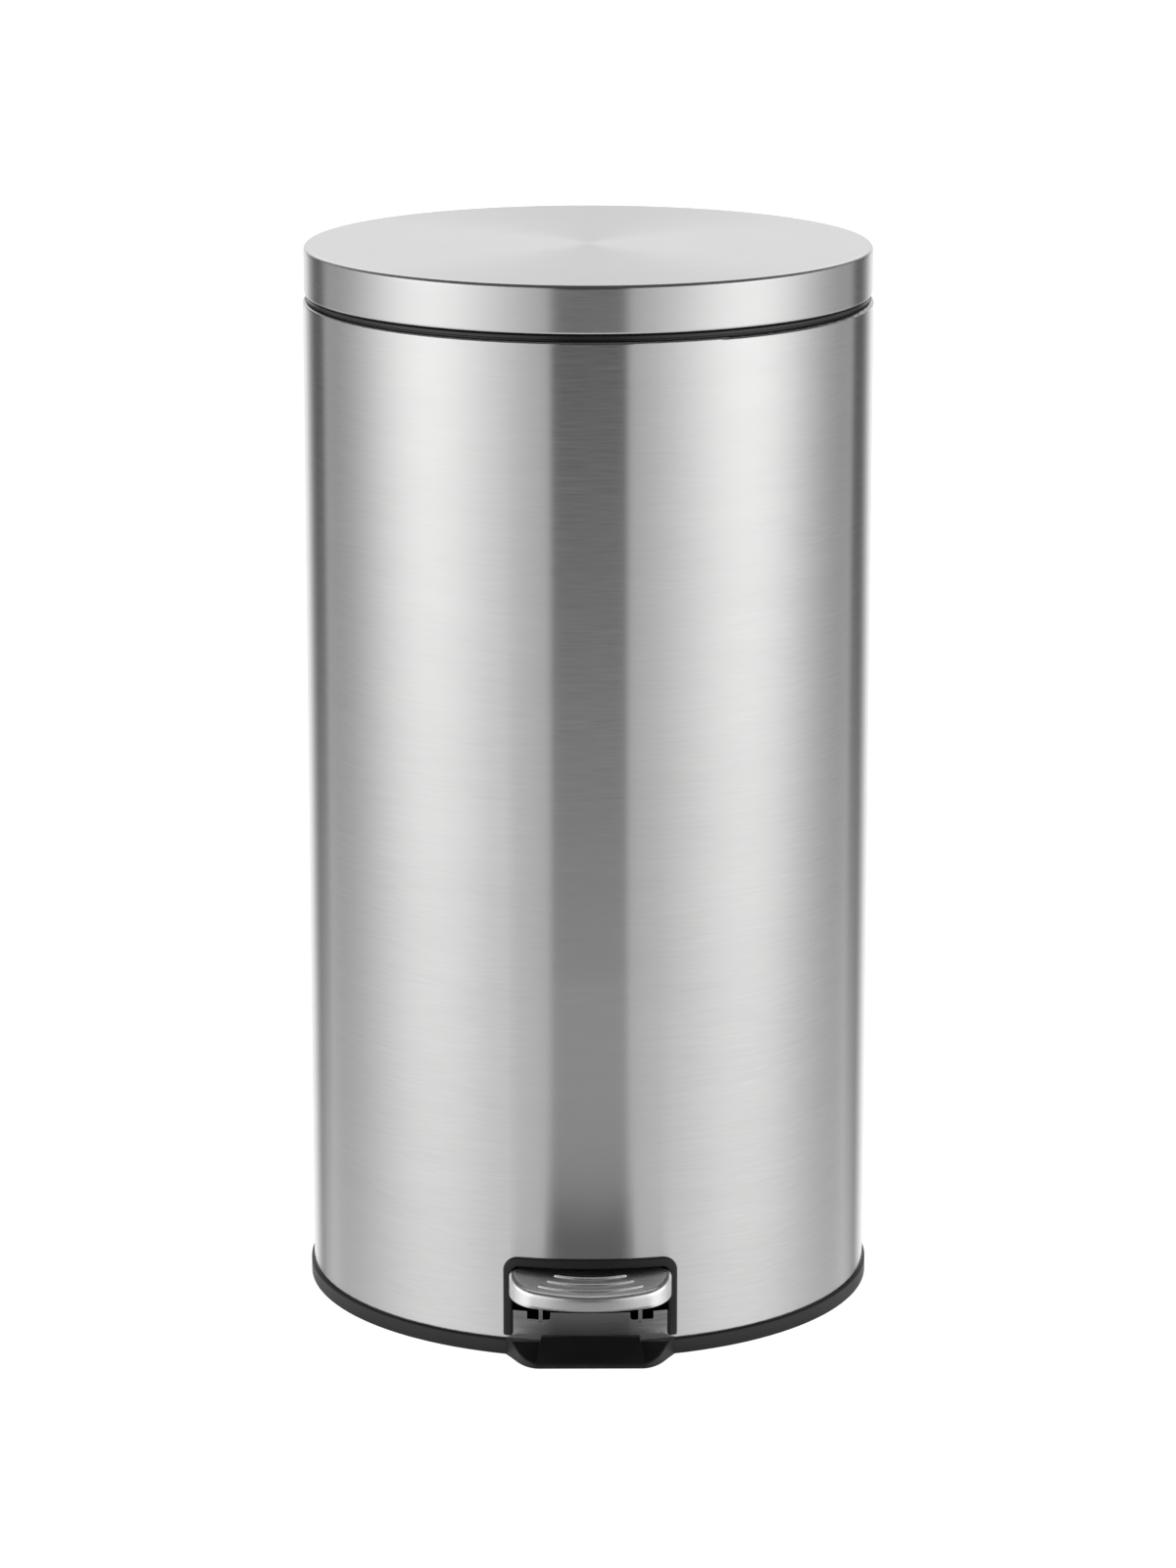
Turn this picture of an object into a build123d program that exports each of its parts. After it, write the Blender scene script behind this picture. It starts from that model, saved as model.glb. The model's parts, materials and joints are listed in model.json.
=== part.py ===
from build123d import *
import math
import os

os.makedirs("parts", exist_ok=True)

# Round pedal trash can, 292 mm across the body and 549 mm tall.
# Frame: origin on the floor under the middle of the body, +Z up, the pedal faces -Y.

# ---------------------------------------------------------------- driving dimensions (mm)
HEIGHT = 549.0          # floor to the flat top of the lid
BODY_R = 146.0          # outside radius of the steel body
BODY_T = 0.8            # steel sheet
BODY_FOOT = 3.5         # the body's lower edge stands on the base floor
BODY_TOP = 521.2        # top of the body's turned hem
LID_R = 145.4           # outside radius of the lid skirt
LID_BOTTOM = 525.0      # lower edge of the lid skirt
LID_CORNER = 2.0        # shoulder radius of the lid

BASE_R = 147.5          # outside radius of the base ring
BASE_Z0 = 0.5           # underside of the base, carried by the rubber ring
BASE_TOP = 9.0          # top of the base ring
FLOOR_Z = 3.5           # upper face of the base floor

TOE_FRONT = -162.8      # front wall of the toe guard
TOE_FRONT_Z = 3.0       # height of its front wall
TOE_BACK_Z = 9.4        # height of its ramp where it meets the body
TOE_ROUND = 1.1
STEP_TOP, STEP_SLOPE = 11.8, 0.57   # low step on the ramp against the body

OPEN_W = 39.7           # half width inside the pedal trim
OPEN_TOP = 48.0         # upper edge inside the trim
OPEN_LOW = 24.1         # lower edge of the cut-out in the body
NOTCH_IN, NOTCH_OUT = 20.35, 32.1   # notches for the lever arms
NOTCH_LOW = 20.05
TRIM_W = 44.2           # half width over the trim
TRIM_TOP = 52.7
TRIM_FOOT = 10.6
TRIM_R = 147.6          # the trim stands proud of the body

TREAD_T = 1.2
TREAD_ARC = 95.0        # radius of the tread's front edge
TREAD_CORNER = 18.0     # radius of its corners in plan
TREAD_W = 41.3          # half width of the tread outside the body
TREAD_SIDE = -143.5     # the skirt's sides end here
TREAD_NECK = 36.0       # half width where the plate reaches under the trim
TREAD_REAR = -141.0
TREAD_MID = TREAD_SIDE + math.sqrt((TREAD_ARC - TREAD_CORNER) ** 2 - (TREAD_W - TREAD_CORNER) ** 2)
TREAD_FRONT = TREAD_MID - TREAD_ARC
TREAD_TOP, TREAD_RISE = 39.4, 0.35      # height of the top at the front, and how it climbs to the back
TREAD_LOW, TREAD_LOW_RISE = 31.05, 0.13 # the same for the skirt's lower edge
TREAD_TILT = math.atan(TREAD_RISE)

ARM_X, ARM_T = 25.2, 2.0
PIVOT_Y, PIVOT_Z = -60.0, 14.0
AXLE_R = 3.0

HINGE_Y, HINGE_Z = 155.0, 523.0
HINGE_PIN_R = 2.5
LID_SWING = 85.0
CRANK = 20.0
CRANK_A = math.radians(LID_SWING / 2)
CRANK_PIN_R = 2.0
CRANK_Y = HINGE_Y - CRANK * math.cos(CRANK_A)
CRANK_Z = HINGE_Z - CRANK * math.sin(CRANK_A)

ROD_R = 2.5
ROD_Y = HINGE_Y - CRANK * (1 + math.cos(CRANK_A)) / 2
ROD_LIFT = 2 * CRANK * math.sin(CRANK_A)
SHOE_R = 5.0            # rounded shoe on the lever's tail, directly under the rod
FOOT_Z = PIVOT_Z + SHOE_R + 0.3
PEDAL_SWING = math.degrees(math.asin(ROD_LIFT / (ROD_Y - PIVOT_Y)))

BUCKET_LOW = 54.0
LEDGE_Z = 524.0


def radial_plane(angle, radius, z):
    """A plane square to the body's radius at an angle from +Y towards +X."""
    s, c = math.sin(math.radians(angle)), math.cos(math.radians(angle))
    return Plane(origin=(radius * s, radius * c, z), x_dir=(0, 0, 1), z_dir=(s, c, 0))


# ---------------------------------------------------------------- base
TOE = [(-43.3, -139.9), (-40.3, -146.0), (-37.2, -152.6), (-33.6, -158.4), (-29.8, -161.7), (-25.5, TOE_FRONT)]
RAMP = (TOE_BACK_Z - TOE_FRONT_Z) / (-146.0 - TOE_FRONT)

with BuildPart() as toe_step:
    with BuildSketch(Plane.XZ.offset(140)):
        with BuildLine():
            Polyline((-28.0, 2), (-25.0, STEP_TOP), (25.0, STEP_TOP), (28.0, 2), close=True)
        make_face()
    extrude(amount=22)
    split(bisect_by=Plane(origin=(0, -147.2, STEP_TOP), x_dir=(1, 0, 0), z_dir=(0, -STEP_SLOPE, 1)), keep=Keep.BOTTOM)

with BuildPart() as base_tray:
    # toe guard: a wedge that runs out from the ring, its top ramping down to the front
    with BuildSketch(Plane.XY.offset(BASE_Z0)):
        with BuildLine():
            left = Spline(*TOE, tangents=[(0.36, -0.93), (1, 0)])
            right = Spline(*[(-x, y) for x, y in TOE], tangents=[(-0.36, -0.93), (-1, 0)])
            Line(left @ 1, right @ 1)
            Polyline(left @ 0, (-40, -120), (40, -120), right @ 0)
        make_face()
    extrude(amount=14)
    split(bisect_by=Plane(origin=(0, TOE_FRONT, TOE_FRONT_Z), x_dir=(1, 0, 0), z_dir=(0, -RAMP, 1)), keep=Keep.BOTTOM)
    split(bisect_by=Plane.XY.offset(TOE_BACK_Z - 0.2), keep=Keep.BOTTOM)
    # its upper edge is rounded
    fillet(base_tray.faces().sort_by(Axis.Z)[-2].edges().filter_by(lambda e: e.center().Y < -147.0), TOE_ROUND)
    # raised step on the ramp against the body
    add(toe_step.part)
    # the body's seat
    with Locations((0, 0, FLOOR_Z)):
        Cylinder(BODY_R + 0.05, 20, align=(Align.CENTER, Align.CENTER, Align.MIN), mode=Mode.SUBTRACT)
    # ring, floor and locating rib
    with BuildSketch(Plane.XZ):
        with BuildLine():
            Polyline(
                (0, 1.5), (117, 1.5), (117, BASE_Z0), (BASE_R - 0.4, BASE_Z0), (BASE_R, BASE_Z0 + 0.4),
                (BASE_R, BASE_TOP - 0.9), (BASE_R - 0.7, BASE_TOP), (BODY_R + 0.05, BASE_TOP),
                (BODY_R + 0.05, FLOOR_Z), (BODY_R - BODY_T - 0.1, FLOOR_Z), (BODY_R - BODY_T - 0.1, BASE_TOP),
                (142.8, BASE_TOP), (142.8, FLOOR_Z), (0, FLOOR_Z), close=True,
            )
        make_face()
    revolve(axis=Axis.Z)
    # groove for the rubber ring
    with BuildSketch(Plane.XY.offset(BASE_Z0)):
        Circle(128.05)
        Circle(119.95, mode=Mode.SUBTRACT)
    extrude(amount=1.5, mode=Mode.SUBTRACT)
    # bracket screw holes
    with BuildSketch(Plane.XY):
        with Locations((-38, -68), (-38, -52), (38, -68), (38, -52)):
            Circle(2.05)
    extrude(amount=10, mode=Mode.SUBTRACT)
base_tray.part.label = "base_tray"
export_step(base_tray.part, "parts/base_tray.step")

with BuildPart() as anti_slip_ring:
    with BuildSketch(Plane.XZ):
        with BuildLine():
            Polyline((120, 0.5), (120.5, 0), (127.5, 0), (128, 0.5), (128, 2), (120, 2), close=True)
        make_face()
    revolve(axis=Axis.Z)
anti_slip_ring.part.label = "anti_slip_ring"
export_step(anti_slip_ring.part, "parts/anti_slip_ring.step")

# ---------------------------------------------------------------- body
HEM = 1.2
with BuildPart() as body_shell:
    with BuildSketch(Plane.XZ):
        with BuildLine():
            inner = BODY_R - BODY_T
            Polyline((BODY_R - HEM, BODY_TOP - BODY_T), (BODY_R - HEM, BODY_TOP))
            CenterArc((BODY_R - HEM, BODY_TOP - HEM), HEM, 0, 90)
            Polyline((BODY_R, BODY_TOP - HEM), (BODY_R, BODY_FOOT), (inner, BODY_FOOT), (inner, BODY_TOP - HEM))
            CenterArc((BODY_R - HEM, BODY_TOP - HEM), HEM - BODY_T, 0, 90)
        make_face()
    revolve(axis=Axis.Z)
    # pedal cut-out with its two notches
    with BuildSketch(Plane.XZ.offset(100)):
        with BuildLine():
            FilletPolyline(
                (-OPEN_W - 0.8, OPEN_LOW), (-OPEN_W - 0.8, OPEN_TOP + 0.8), (OPEN_W + 0.8, OPEN_TOP + 0.8), (OPEN_W + 0.8, OPEN_LOW),
                (NOTCH_OUT, OPEN_LOW), (NOTCH_OUT, NOTCH_LOW), (NOTCH_IN, NOTCH_LOW), (NOTCH_IN, OPEN_LOW),
                (-NOTCH_IN, OPEN_LOW), (-NOTCH_IN, NOTCH_LOW), (-NOTCH_OUT, NOTCH_LOW), (-NOTCH_OUT, OPEN_LOW),
                radius=[0, 4.4, 4.4, 0, 0, 0.5, 1.5, 0, 0, 1.5, 0.5, 0], close=True,
            )
        make_face()
    extrude(amount=60, mode=Mode.SUBTRACT)
    # slot in the back edge for the lid's crank
    with BuildSketch(Plane.XZ.offset(-120)):
        with Locations((0, 503)):
            Rectangle(18, 40, align=(Align.CENTER, Align.MIN))
    extrude(amount=-40, mode=Mode.SUBTRACT)
    # holes for the hinge screws and the guide rivets
    for angle, z in [(a, h) for a in (-9.5, 9.5) for h in (489, 498)]:
        with BuildSketch(radial_plane(angle, 130, z)):
            Circle(2.1)
        extrude(amount=30, mode=Mode.SUBTRACT)
    for angle, z in [(a, h) for a in (-4.4, 4.4) for h in (130, 390)]:
        with BuildSketch(radial_plane(angle, 130, z)):
            Circle(1.65)
        extrude(amount=30, mode=Mode.SUBTRACT)
body_shell.part.label = "body_shell"
export_step(body_shell.part, "parts/body_shell.step")

# ---------------------------------------------------------------- trim around the pedal
with BuildPart() as trim_face:
    with BuildSketch(Plane.XZ.offset(120)):
        with BuildLine():
            FilletPolyline(
                (-TRIM_W, TRIM_FOOT), (-TRIM_W, TRIM_TOP), (TRIM_W, TRIM_TOP), (TRIM_W, TRIM_FOOT),
                (OPEN_W, TRIM_FOOT), (OPEN_W, OPEN_TOP), (-OPEN_W, OPEN_TOP), (-OPEN_W, TRIM_FOOT),
                radius=[0.8, 7.5, 7.5, 0.8, 0.8, 3.6, 3.6, 0.8], close=True,
            )
        make_face()
    extrude(amount=40)
    with BuildSketch(Plane.XY):
        Circle(TRIM_R)
        Circle(BODY_R + 0.03, mode=Mode.SUBTRACT)
    extrude(amount=60, mode=Mode.INTERSECT)
    chamfer(trim_face.faces().filter_by(GeomType.CYLINDER).sort_by(lambda f: f.radius)[-1].edges(), 0.5)

with BuildPart() as pedal_bezel:
    # lip that lines the cut edge of the body
    with BuildSketch(Plane.XZ.offset(120)):
        with BuildLine():
            FilletPolyline(
                (-OPEN_W - 0.7, OPEN_LOW + 0.1), (-OPEN_W - 0.7, OPEN_TOP + 0.7), (OPEN_W + 0.7, OPEN_TOP + 0.7), (OPEN_W + 0.7, OPEN_LOW + 0.1),
                (OPEN_W, OPEN_LOW + 0.1), (OPEN_W, OPEN_TOP), (-OPEN_W, OPEN_TOP), (-OPEN_W, OPEN_LOW + 0.1),
                radius=[0, 4.3, 4.3, 0, 0, 3.6, 3.6, 0], close=True,
            )
        make_face()
    extrude(amount=40)
    with BuildSketch(Plane.XY):
        Circle(BODY_R + 0.8)
        Circle(BODY_R - 2.6, mode=Mode.SUBTRACT)
    extrude(amount=60, mode=Mode.INTERSECT)
    add(trim_face.part)
pedal_bezel.part.label = "pedal_bezel"
export_step(pedal_bezel.part, "parts/pedal_bezel.step")

# ---------------------------------------------------------------- rim collar, carries the pail
with BuildPart() as rim_collar:
    with BuildSketch(Plane.XZ):
        with BuildLine():
            Polyline(
                (142.2, 504), (144.7, 504), (144.7, 520.8), (143.4, 521.1), (143.4, 522.0), (144.3, 522.5), (144.3, 523.9), (143.6, 524.6),
                (142.8, 524.6), (142.8, 530.5), (142.3, 531),
                (140.8, 531), (140.8, LEDGE_Z), (134.5, LEDGE_Z), (134.5, LEDGE_Z - 2.5), (142.2, LEDGE_Z - 2.5), close=True,
            )
        make_face()
    revolve(axis=Axis.Z)
    # back: room for the crank and the rod's head, and for the hinge bracket above the ledge
    with Locations((0, 140, 500)):
        Box(24, 40, 40, align=(Align.CENTER, Align.CENTER, Align.MIN), mode=Mode.SUBTRACT)
    with Locations((0, 140, LEDGE_Z)):
        Box(42, 30, 12, align=(Align.CENTER, Align.CENTER, Align.MIN), mode=Mode.SUBTRACT)
    # sides: finger room under the pail's rim
    with BuildSketch(Plane.XY.offset(515)):
        Rectangle(320, 60)
        Circle(142.2, mode=Mode.INTERSECT)
    extrude(amount=30, mode=Mode.SUBTRACT)
rim_collar.part.label = "rim_collar"
export_step(rim_collar.part, "parts/rim_collar.step")

with BuildPart() as lid_bumpers:
    for angle in (-90, 30, 150):
        with BuildSketch(Plane.XY.offset(531)):
            with BuildLine():
                CenterArc((0, 0), 142.2, angle - 3, 6)
                CenterArc((0, 0), 140.9, angle - 3, 6)
                for a in (angle - 3, angle + 3):
                    c, s = math.cos(math.radians(a)), math.sin(math.radians(a))
                    Line((142.2 * c, 142.2 * s), (140.9 * c, 140.9 * s))
            make_face()
        extrude(amount=3.2)
lid_bumpers.part.label = "lid_bumpers"
export_step(lid_bumpers.part, "parts/lid_bumpers.step")

# ---------------------------------------------------------------- pail
with BuildPart() as inner_bucket:
    with BuildSketch(Plane.XZ):
        with BuildLine():
            FilletPolyline(
                (0, BUCKET_LOW), (120, BUCKET_LOW), (127, LEDGE_Z), (137.5, LEDGE_Z), (137.5, LEDGE_Z + 2.0), (125.0, LEDGE_Z + 2.0),
                (117.8, BUCKET_LOW + 2.5), (0, BUCKET_LOW + 2.5),
                radius=[0, 8, 0.8, 0.6, 0.6, 0.8, 5.5, 0], close=True,
            )
        make_face()
    revolve(axis=Axis.Z)
    # gap in the rim behind, where the rod's head comes up
    with Locations((0, 129, LEDGE_Z - 5)):
        Box(26, 20, 12, align=(Align.CENTER, Align.MIN, Align.MIN), mode=Mode.SUBTRACT)
inner_bucket.part.label = "inner_bucket"
export_step(inner_bucket.part, "parts/inner_bucket.step")

# ---------------------------------------------------------------- lever bearing on the base
with BuildPart() as pivot_brackets:
    for side in (-1, 1):
        with BuildSketch(Plane.XZ.offset(-PIVOT_Y - 13)):
            with BuildLine():
                Polyline(
                    (side * 29, FLOOR_Z), (side * 45, FLOOR_Z), (side * 45, FLOOR_Z + 2), (side * 31, FLOOR_Z + 2),
                    (side * 31, 23), (side * 29, 23), close=True,
                )
            make_face()
        extrude(amount=26)
    with BuildSketch(Plane.YZ.offset(-60)):
        with Locations((PIVOT_Y, PIVOT_Z)):
            Circle(AXLE_R + 0.02)
    extrude(amount=120, mode=Mode.SUBTRACT)
    with BuildSketch(Plane.XY):
        with Locations((-38, -68), (-38, -52), (38, -68), (38, -52)):
            Circle(2.1)
    extrude(amount=10, mode=Mode.SUBTRACT)
    fillet(pivot_brackets.edges().filter_by(Axis.X).filter_by(lambda e: e.center().Z > 22), 6)
pivot_brackets.part.label = "pivot_brackets"
export_step(pivot_brackets.part, "parts/pivot_brackets.step")

with BuildPart() as bracket_screws:
    with BuildSketch(Plane.XY.offset(1.6)):
        with Locations((-38, -68), (-38, -52), (38, -68), (38, -52)):
            Circle(2.0)
    extrude(amount=FLOOR_Z + 2 - 1.6)
    with BuildSketch(Plane.XY.offset(FLOOR_Z + 2)):
        with Locations((-38, -68), (-38, -52), (38, -68), (38, -52)):
            Circle(3.6)
    extrude(amount=2.2)
    fillet(bracket_screws.edges().group_by(Axis.Z)[-1], 0.8)
    with BuildSketch(Plane.XY.offset(FLOOR_Z + 4.2)):
        with Locations((-38, -68), (-38, -52), (38, -68), (38, -52)):
            Rectangle(3.6, 0.8)
            Rectangle(0.8, 3.6)
    extrude(amount=-1.0, mode=Mode.SUBTRACT)
bracket_screws.part.label = "bracket_screws"
export_step(bracket_screws.part, "parts/bracket_screws.step")

with BuildPart() as lever_axle:
    with BuildSketch(Plane.YZ.offset(-35)):
        with Locations((PIVOT_Y, PIVOT_Z)):
            Circle(AXLE_R)
    extrude(amount=70)
    chamfer(lever_axle.edges().filter_by(GeomType.CIRCLE), 0.6)
lever_axle.part.label = "lever_axle"
export_step(lever_axle.part, "parts/lever_axle.step")

with BuildPart() as axle_clips:
    for x in (-32.1, 31.0):
        with BuildSketch(Plane.YZ.offset(x)):
            with Locations((PIVOT_Y, PIVOT_Z)):
                Circle(6)
                Circle(AXLE_R + 0.02, mode=Mode.SUBTRACT)
        extrude(amount=1.1)
axle_clips.part.label = "axle_clips"
export_step(axle_clips.part, "parts/axle_clips.step")

# ---------------------------------------------------------------- pedal and lever
TREAD_PLANE = Plane(origin=(0, -164.0, TREAD_TOP), x_dir=(1, 0, 0), z_dir=(0, -TREAD_RISE, 1))


def under_tread(y):
    """Height of the tread plate's lower face."""
    return TREAD_TOP + TREAD_RISE * (y + 164.0) - TREAD_T / math.cos(TREAD_TILT)


def along_tread(y):
    """Distance up the tread's slope from its front datum."""
    return (y + 164.0) / math.cos(TREAD_TILT)


ARM = [
    (-155.8, under_tread(-155.8)), (-141.5, under_tread(-141.5)), (-128.0, 37.3), (-104.0, 26.5), (-74.0, 23.0), (-46.0, 21.0), (28.0, 21.0),
    (28.0, 9.0), (-46.0, 7.0), (-72.0, 6.0), (-116.0, 28.0), (-146.0, 33.0), (-149.2, 33.0), (-150.6, 22.4), (-155.8, 22.4),
]
with BuildPart() as lever_frame:
    for side in (-1, 1):
        with BuildSketch(Plane.YZ.offset(side * ARM_X - ARM_T / 2)):
            with BuildLine():
                FilletPolyline(*ARM, radius=[0.3, 2, 8, 6, 8, 8, 3, 3, 6, 8, 8, 4, 1.0, 1.0, 1.0], close=True)
            make_face()
            with Locations((PIVOT_Y, PIVOT_Z)):
                Circle(4.52, mode=Mode.SUBTRACT)
        extrude(amount=ARM_T)
    # web between the arms, over the tail
    with BuildSketch(Plane.XY.offset(19)):
        with Locations((0, -7)):
            Rectangle(2 * ARM_X + ARM_T, 66)
    extrude(amount=2)
    # webs under the tread, in front of the body wall and behind it
    with BuildSketch(TREAD_PLANE.offset(-TREAD_T)):
        with Locations((0, along_tread(-155.4))):
            Rectangle(2 * ARM_X + ARM_T, 5.6, align=(Align.CENTER, Align.MIN))
    extrude(amount=-2)
    with BuildSketch(Plane.XY.offset(35.3)):
        with Locations((0, -137.5)):
            Rectangle(2 * ARM_X + ARM_T, 8, align=(Align.CENTER, Align.MIN))
    extrude(amount=2)
    with BuildSketch(Plane.XY.offset(10)):
        with Locations((0, -14), (0, 14)):
            Circle(2.52)
    extrude(amount=20, mode=Mode.SUBTRACT)
lever_frame.part.label = "lever_frame"
export_step(lever_frame.part, "parts/lever_frame.step")

with BuildPart() as lever_bushes:
    for side in (-1, 1):
        with BuildSketch(Plane.YZ.offset(side * 23.0)):
            with Locations((PIVOT_Y, PIVOT_Z)):
                Circle(4.5)
        extrude(amount=side * 5.6)
        with BuildSketch(Plane.YZ.offset(side * (ARM_X + ARM_T / 2))):
            with Locations((PIVOT_Y, PIVOT_Z)):
                Circle(6.5)
        extrude(amount=side * 2.4)
    with BuildSketch(Plane.YZ.offset(-40)):
        with Locations((PIVOT_Y, PIVOT_Z)):
            Circle(AXLE_R + 0.05)
    extrude(amount=80, mode=Mode.SUBTRACT)
lever_bushes.part.label = "lever_bushes"
export_step(lever_bushes.part, "parts/lever_bushes.step")

with BuildPart() as lever_tail:
    for x in (-8, 6):
        with BuildSketch(Plane.YZ.offset(x)):
            with Locations((-25, PIVOT_Z)):
                Rectangle(ROD_Y + 25, 9.6, align=(Align.MIN, Align.CENTER))
            with Locations((ROD_Y, PIVOT_Z)):
                Circle(4.8)
        extrude(amount=2)
    with BuildSketch(Plane.XY.offset(17)):
        with Locations((0, -25)):
            Rectangle(16, 151, align=(Align.CENTER, Align.MIN))
    extrude(amount=2)
    with BuildSketch(Plane.XY.offset(10)):
        with Locations((0, -14), (0, 14)):
            Circle(2.52)
    extrude(amount=20, mode=Mode.SUBTRACT)
    with BuildSketch(Plane.YZ.offset(-10)):
        with Locations((ROD_Y, PIVOT_Z)):
            Circle(2.02)
    extrude(amount=20, mode=Mode.SUBTRACT)
lever_tail.part.label = "lever_tail"
export_step(lever_tail.part, "parts/lever_tail.step")

with BuildPart() as tail_rivets:
    with BuildSketch(Plane.XY.offset(15.4)):
        with Locations((0, -14), (0, 14)):
            Circle(4.2)
    extrude(amount=1.6)
    with BuildSketch(Plane.XY.offset(17)):
        with Locations((0, -14), (0, 14)):
            Circle(2.5)
    extrude(amount=4)
    with BuildSketch(Plane.XY.offset(21)):
        with Locations((0, -14), (0, 14)):
            Circle(4.5)
    extrude(amount=2)
    fillet(tail_rivets.edges().group_by(Axis.Z)[-1], 1.5)
tail_rivets.part.label = "tail_rivets"
export_step(tail_rivets.part, "parts/tail_rivets.step")

with BuildPart() as lever_shoe:
    with BuildSketch(Plane.YZ.offset(-5.9)):
        with Locations((ROD_Y, PIVOT_Z)):
            Circle(SHOE_R)
            Rectangle(9, 8, align=(Align.MAX, Align.CENTER))
            Circle(2.02, mode=Mode.SUBTRACT)
    extrude(amount=11.8)
lever_shoe.part.label = "lever_shoe"
export_step(lever_shoe.part, "parts/lever_shoe.step")

with BuildPart() as shoe_pin:
    with BuildSketch(Plane.YZ.offset(-8)):
        with Locations((ROD_Y, PIVOT_Z)):
            Circle(2.0)
    extrude(amount=16)
    for x in (-9.2, 8):
        with BuildSketch(Plane.YZ.offset(x)):
            with Locations((ROD_Y, PIVOT_Z)):
                Circle(3.2)
        extrude(amount=1.2)
shoe_pin.part.label = "shoe_pin"
export_step(shoe_pin.part, "parts/shoe_pin.step")

RIDGES = [(17.5, -148.1, -150.45), (21.1, -152.3, -155.4), (25.7, -156.1, -160.15)]


def tread_outline(inset, rear):
    """Closed D outline of the tread in plan, drawn inside its outer line by the inset."""
    w, corner, arc = TREAD_W - inset, TREAD_CORNER - inset, TREAD_ARC - inset
    k = arc / (TREAD_ARC - TREAD_CORNER)
    cx = TREAD_W - TREAD_CORNER
    join = (cx * k, TREAD_MID + (TREAD_SIDE - TREAD_MID) * k)
    turn = math.atan2(join[1] - TREAD_SIDE, join[0] - cx) / 2
    bend = (cx + corner * math.cos(turn), TREAD_SIDE + corner * math.sin(turn))
    flip = lambda p: (-p[0], p[1])
    ThreePointArc(flip(join), (0, TREAD_MID - arc), join)
    ThreePointArc(join, bend, (w, TREAD_SIDE))
    ThreePointArc(flip(join), flip(bend), (-w, TREAD_SIDE))
    if rear > TREAD_SIDE:
        Polyline((w, TREAD_SIDE), (w, rear), (-w, rear), (-w, TREAD_SIDE))
    else:
        Line((w, TREAD_SIDE), (-w, TREAD_SIDE))


with BuildPart() as pedal_tread:
    with BuildSketch(Plane.XY.offset(20)):
        with BuildLine():
            tread_outline(0, TREAD_SIDE)
        make_face()
    extrude(amount=40)
    split(bisect_by=TREAD_PLANE, keep=Keep.BOTTOM)
    split(
        bisect_by=Plane(origin=(0, TREAD_FRONT, TREAD_LOW), x_dir=(1, 0, 0), z_dir=(0, -TREAD_LOW_RISE, 1)),
        keep=Keep.TOP,
    )
    fillet(
        pedal_tread.edges().filter_by(
            lambda e: abs(TREAD_PLANE.to_local_coords(e @ 0.5).Z) < 0.01 and (e @ 0.5).Y < TREAD_SIDE - 0.1
        ),
        2.2,
    )
    # hollow underneath, open at the back
    with BuildSketch(Plane.XY.offset(10)):
        with BuildLine():
            tread_outline(TREAD_T, TREAD_SIDE + 5)
        make_face()
    hollow = extrude(amount=60, mode=Mode.PRIVATE)
    hollow = split(hollow, bisect_by=TREAD_PLANE.offset(-TREAD_T), keep=Keep.BOTTOM, mode=Mode.PRIVATE)
    add(hollow, mode=Mode.SUBTRACT)
    # rounded lower back corners of the skirt
    fillet(
        pedal_tread.edges().filter_by(Axis.X).filter_by(
            lambda e: abs(e.center().Y - TREAD_SIDE) < 0.05 and e.center().Z < TREAD_LOW + 5
        ),
        2.2,
    )
    # the plate runs on under the trim
    with BuildSketch(TREAD_PLANE):
        with Locations((0, along_tread(TREAD_REAR))):
            Rectangle(2 * TREAD_NECK, 5.5, align=(Align.CENTER, Align.MAX))
    extrude(amount=-TREAD_T)
    # raised arcs
    for half, y_end, y_mid in RIDGES:
        path = ThreePointArc(
            (-half, along_tread(y_end)), (0, along_tread(y_mid)), (half, along_tread(y_end)), mode=Mode.PRIVATE
        )
        with BuildSketch(TREAD_PLANE.offset(-0.2)):
            SlotArc(path, 1.9)
        extrude(amount=1.0)
    fillet(
        pedal_tread.edges().filter_by(lambda e: abs(TREAD_PLANE.to_local_coords(e @ 0.5).Z - 0.8) < 0.01), 0.6
    )
pedal_tread.part.label = "pedal_tread"
export_step(pedal_tread.part, "parts/pedal_tread.step")

# ---------------------------------------------------------------- push rod
HEAD_BASE = CRANK_Z - 10.6
HALF_RUN = CRANK * (1 - math.cos(CRANK_A)) / 2
with BuildPart() as push_rod:
    with BuildSketch(Plane.XY.offset(FOOT_Z + 3.5)):
        with Locations((0, ROD_Y)):
            Circle(ROD_R)
    extrude(amount=HEAD_BASE - 2.0 - FOOT_Z - 3.5)
push_rod.part.label = "push_rod"
export_step(push_rod.part, "parts/push_rod.step")

with BuildPart() as rod_foot:
    with BuildSketch(Plane.XY.offset(FOOT_Z)):
        with Locations((0, ROD_Y)):
            Circle(5)
    extrude(amount=10)
    chamfer(rod_foot.edges().group_by(Axis.Z)[-1], 1.5)
    with BuildSketch(Plane.XY.offset(FOOT_Z + 3.5)):
        with Locations((0, ROD_Y)):
            Circle(ROD_R + 0.02)
    extrude(amount=10, mode=Mode.SUBTRACT)
rod_foot.part.label = "rod_foot"
export_step(rod_foot.part, "parts/rod_foot.step")

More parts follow.
